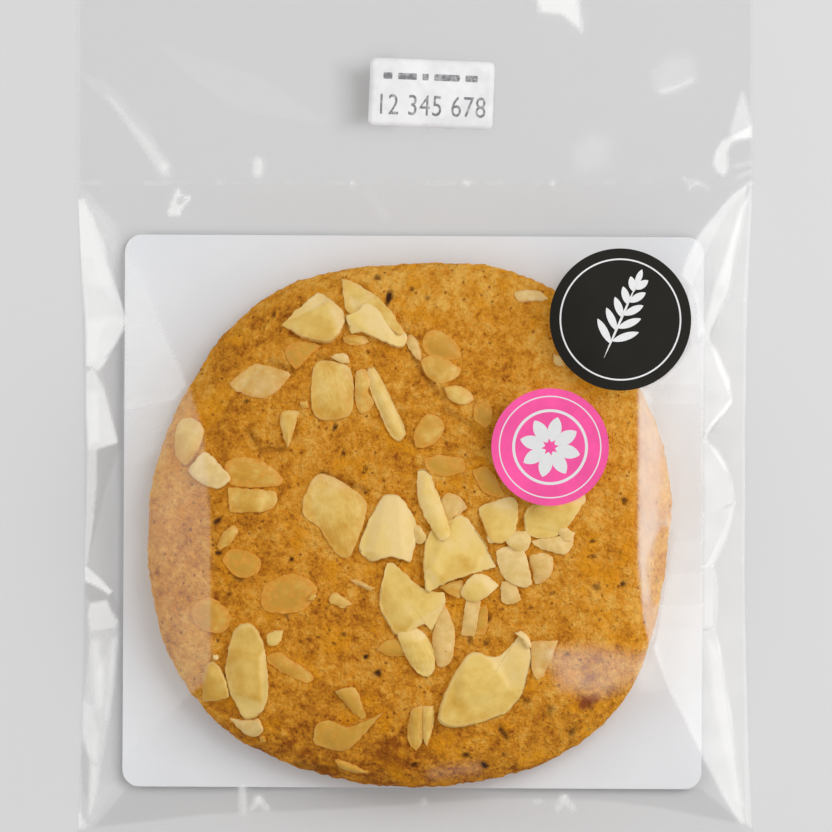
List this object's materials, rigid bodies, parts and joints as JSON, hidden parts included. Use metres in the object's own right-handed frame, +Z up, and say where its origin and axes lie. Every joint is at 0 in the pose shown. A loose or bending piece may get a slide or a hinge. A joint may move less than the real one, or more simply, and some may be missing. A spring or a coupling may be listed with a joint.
{
  "type": "almond orange cookie in a clear bag",
  "caption": "Large round almond orange cookie with almond slices on top, on a white card, heat-sealed in a flat clear bag with plain stickers.",
  "frame": {"origin": "centre of the underside of the flat-lying bag, on the surface that it rests on", "axes": "+Z up out of the shown face of the pack, +Y along the bag towards its open top end, +X to the right as seen from above"},
  "size_m": [0.12, 0.16, 0.0143],
  "materials": {
    "dough": "baked golden-brown dough, sandy and matt, with dark specks of peel",
    "almond": "sliced blanched almond, cream to pale gold, slightly waxy",
    "card_board": "smooth white food card",
    "clear_film": "clear glossy cellophane, crumpled along its sides",
    "black_label": "black satin paper sticker with a plain white sprig",
    "pink_label": "pink satin paper sticker with a plain white fruit slice",
    "white_label": "white price-gun label with plain grey digits"
  },
  "bodies": {
    "root": {"bag": "clear_film", "card": "card_board", "cookie": "dough", "almond_slice_1": "almond", "almond_slice_2": "almond", "almond_slice_3": "almond", "almond_slice_4": "almond", "almond_slice_5": "almond", "almond_slice_6": "almond", "almond_slice_7": "almond", "almond_slice_8": "almond", "almond_slice_9": "almond", "almond_slice_10": "almond", "almond_slice_11": "almond", "almond_slice_12": "almond", "round_label_black": "black_label", "round_label_pink": "pink_label", "date_label": "white_label"}
  },
  "joints": []
}
